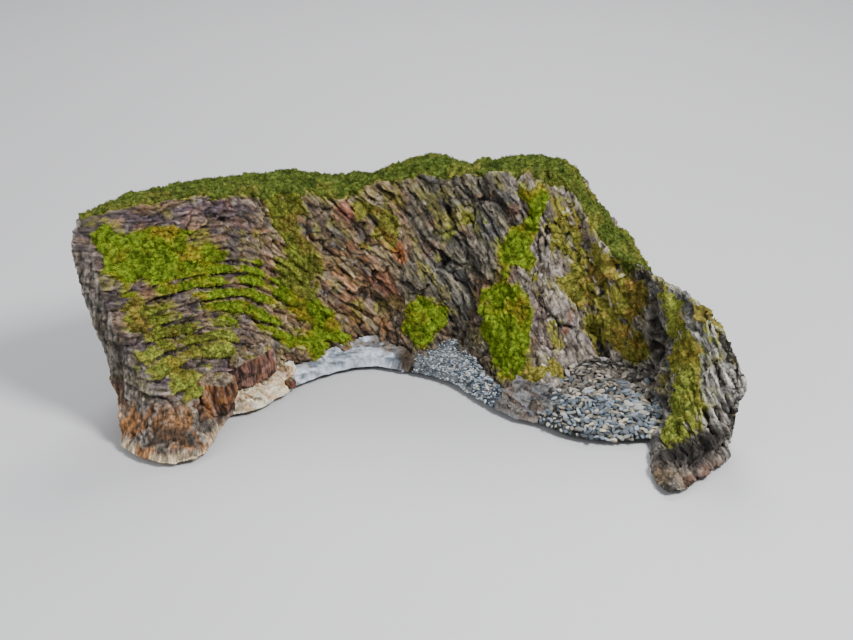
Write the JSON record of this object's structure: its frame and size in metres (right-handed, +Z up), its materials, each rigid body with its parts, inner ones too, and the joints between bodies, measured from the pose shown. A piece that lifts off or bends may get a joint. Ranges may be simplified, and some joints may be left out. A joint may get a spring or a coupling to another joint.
{
  "type": "aquarium rockwork ornament",
  "caption": "Crescent sea-cliff rockwork ornament for an aquarium, open to the front, with a mossy rim and slopes, a beach along the cove and a low point of rock.",
  "frame": {"origin": "under the middle of the bounding box, on the surface that the feet stand on", "axes": "+X along the crescent to the right seen from the open side, +Y from the open cove towards the closed back, +Z up"},
  "size_m": [0.3634, 0.2174, 0.1292],
  "materials": {
    "base_resin": "matt grey-brown resin, unpainted",
    "foot_rubber": "soft dark silicone",
    "rock_resin": "hand-painted matt rock in grey, brown and slate, with a dry-brushed edge",
    "dowel_plastic": "plain moulded pin",
    "ledge_resin": "matt cream and ochre painted rock",
    "sand": "fine pale sand set in clear resin",
    "shingle": "fine grey shingle set in clear resin",
    "pebbles": "rounded blue-grey and cream pebbles set in clear resin",
    "boulder_resin": "matt red-brown painted rock with upright streaks",
    "moss": "dense short green flock on a thin resin pad"
  },
  "bodies": {
    "root": {"base_plate": "base_resin", "foot_pad_1": "foot_rubber", "foot_pad_2": "foot_rubber", "foot_pad_3": "foot_rubber", "foot_pad_4": "foot_rubber", "foot_pad_5": "foot_rubber", "foot_pad_6": "foot_rubber", "foot_pad_7": "foot_rubber", "foot_pad_8": "foot_rubber", "headland_casting": "rock_resin", "left_wall_casting": "rock_resin", "right_wall_casting": "rock_resin", "buttress_casting": "rock_resin", "point_casting": "rock_resin", "dowel_1_lower": "dowel_plastic", "dowel_1_upper": "dowel_plastic", "dowel_2_lower": "dowel_plastic", "dowel_2_upper": "dowel_plastic", "dowel_3_lower": "dowel_plastic", "dowel_3_upper": "dowel_plastic", "dowel_4_lower": "dowel_plastic", "dowel_4_upper": "dowel_plastic", "cream_ledge": "ledge_resin", "foot_rock": "ledge_resin", "sand_beach": "sand", "shingle_beach": "shingle", "pebble_beach": "pebbles", "boulder_by_wall": "boulder_resin", "boulder_by_headland": "boulder_resin", "beach_stone": "boulder_resin", "moss_headland_crown": "moss", "moss_headland_slope": "moss", "moss_headland_foot": "moss", "moss_terrace": "moss", "moss_toe": "moss", "moss_lip": "moss", "moss_wall_streak": "moss", "moss_wall_patch": "moss", "moss_nose": "moss", "moss_gully_head": "moss", "moss_gully": "moss", "moss_brow": "moss", "moss_buttress_top": "moss", "moss_buttress_side": "moss", "moss_buttress_foot": "moss", "moss_shoulder_foot": "moss", "moss_point_inner": "moss", "moss_point_front": "moss", "moss_point_crest": "moss", "moss_outer_slope": "moss", "moss_rim_headland": "moss", "moss_rim_left": "moss", "moss_rim_middle": "moss", "moss_rim_right": "moss"}
  },
  "joints": []
}
